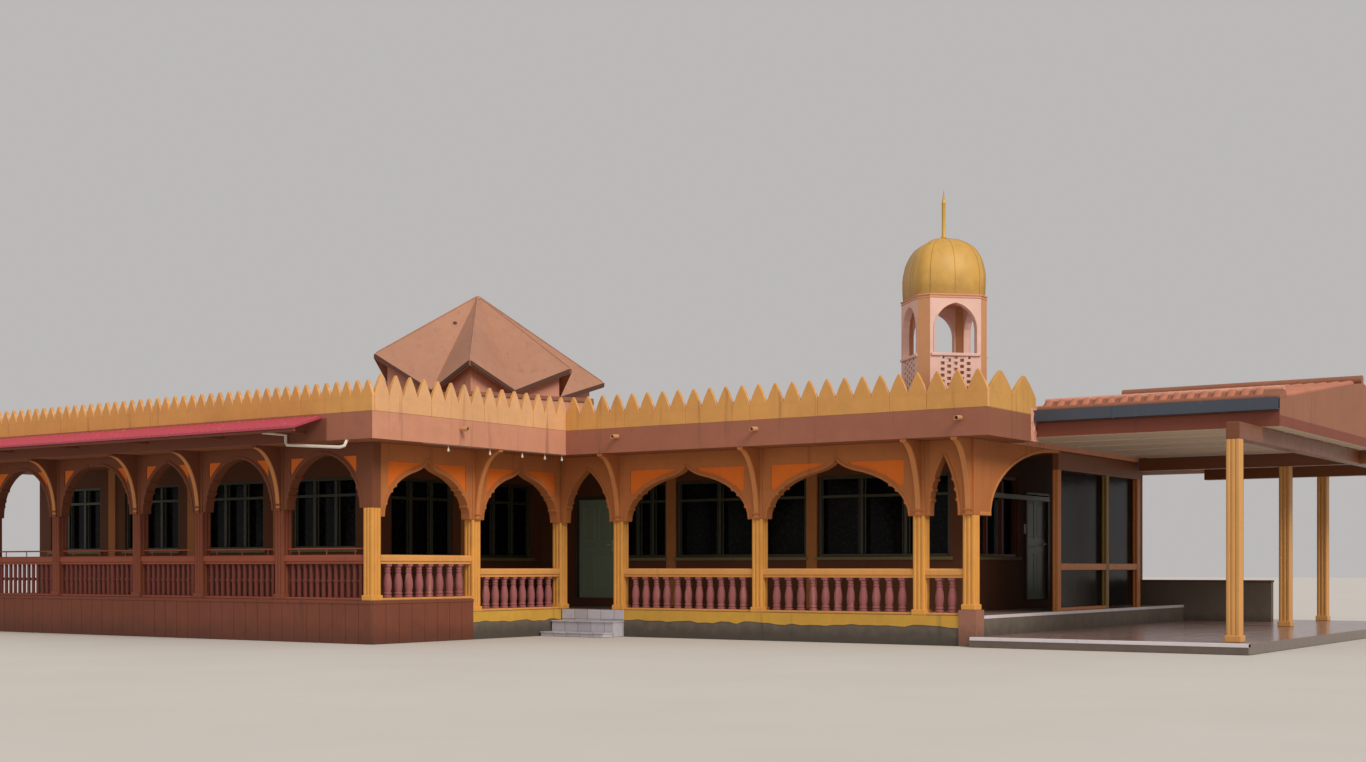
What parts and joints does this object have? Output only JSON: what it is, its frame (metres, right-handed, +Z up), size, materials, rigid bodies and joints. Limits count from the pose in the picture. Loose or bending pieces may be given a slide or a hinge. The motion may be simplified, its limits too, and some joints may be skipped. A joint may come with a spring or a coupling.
{
  "type": "mosque building",
  "caption": "Single-storey mosque with arcaded verandas, balustrades, toothed parapets, a corner turret with a golden dome, a folded pyramid roof and a side porch.",
  "frame": {"origin": "bottom centre of the bounding box, at ground level", "axes": "+Z up; the front arcade faces -Y; +X runs along the front towards the side porch"},
  "size_m": [25.7, 17.9402, 7.94],
  "materials": {
    "plinth_concrete": "rough",
    "step_concrete": "rough",
    "wall_plaster": "matt paint",
    "fascia_plaster": "matt paint",
    "parapet_plaster": "matt paint",
    "baluster_plaster": "satin paint",
    "turret_plaster": "matt paint",
    "dome_paint": "satin gold paint",
    "spire_metal": "satin",
    "roof_tile": "matt tile",
    "awning_sheet": "satin",
    "gutter_metal": "satin",
    "porch_tile": "polished tile",
    "timber_ochre": "satin paint",
    "window_glass": "dark tinted",
    "door_paint": "satin paint"
  },
  "bodies": {
    "building": {"plinth_main": "plinth_concrete", "plinth_wing": "plinth_concrete", "entrance_steps": "step_concrete", "corner_pedestal": "turret_plaster", "arcade_front": "wall_plaster", "arcade_return": "wall_plaster", "arcade_wing": "wall_plaster", "arcade_side": "wall_plaster", "balustrade_front_1": "baluster_plaster", "balustrade_front_2": "baluster_plaster", "balustrade_front_3": "baluster_plaster", "balustrade_return_1": "baluster_plaster", "balustrade_return_2": "baluster_plaster", "balustrade_wing_1": "baluster_plaster", "balustrade_wing_2": "baluster_plaster", "balustrade_wing_3": "baluster_plaster", "balustrade_wing_4": "baluster_plaster", "balustrade_wing_5": "baluster_plaster", "balustrade_wing_6": "baluster_plaster", "roof_slab": "fascia_plaster", "parapet_wing": "parapet_plaster", "parapet_return": "parapet_plaster", "parapet_front": "parapet_plaster", "parapet_corner": "parapet_plaster", "parapet_side": "parapet_plaster", "parapet_back": "parapet_plaster", "parapet_west": "parapet_plaster", "hall_wall_front": "wall_plaster", "hall_wall_return": "wall_plaster", "hall_wall_wing": "wall_plaster", "hall_wall_right": "wall_plaster", "hall_wall_back": "wall_plaster", "hall_wall_west": "wall_plaster", "glazing_front": "window_glass", "glazing_return": "window_glass", "glazing_wing": "window_glass", "glazing_right": "window_glass", "glazing_back": "window_glass", "glazing_west": "window_glass", "turret_body": "turret_plaster", "turret_dome": "dome_paint", "turret_spire": "spire_metal", "roof_drum": "turret_plaster", "pyramid_roof": "roof_tile", "side_screen": "timber_ochre", "screen_glass": "window_glass", "porch_floor": "porch_tile", "porch_frame": "timber_ochre", "porch_ceiling": "fascia_plaster", "porch_roof": "roof_tile", "porch_gutter": "gutter_metal", "porch_low_wall": "plinth_concrete", "wing_awning": "awning_sheet"},
    "main_door_leaf": {"main_door": "door_paint"},
    "side_door_leaf": {"side_door": "door_paint"}
  },
  "joints": [
    {"name": "main_door_hinge", "type": "hinge", "parent": "building", "child": "main_door_leaf", "pos_m": [-1.3015, -0.36735, 1], "axis": [0, 0, 1], "range_deg": [0, 90]},
    {"name": "side_door_hinge", "type": "hinge", "parent": "building", "child": "side_door_leaf", "pos_m": [7.0375, 2.46865, 1], "axis": [0, 0, 1], "range_deg": [0, 90]}
  ]
}
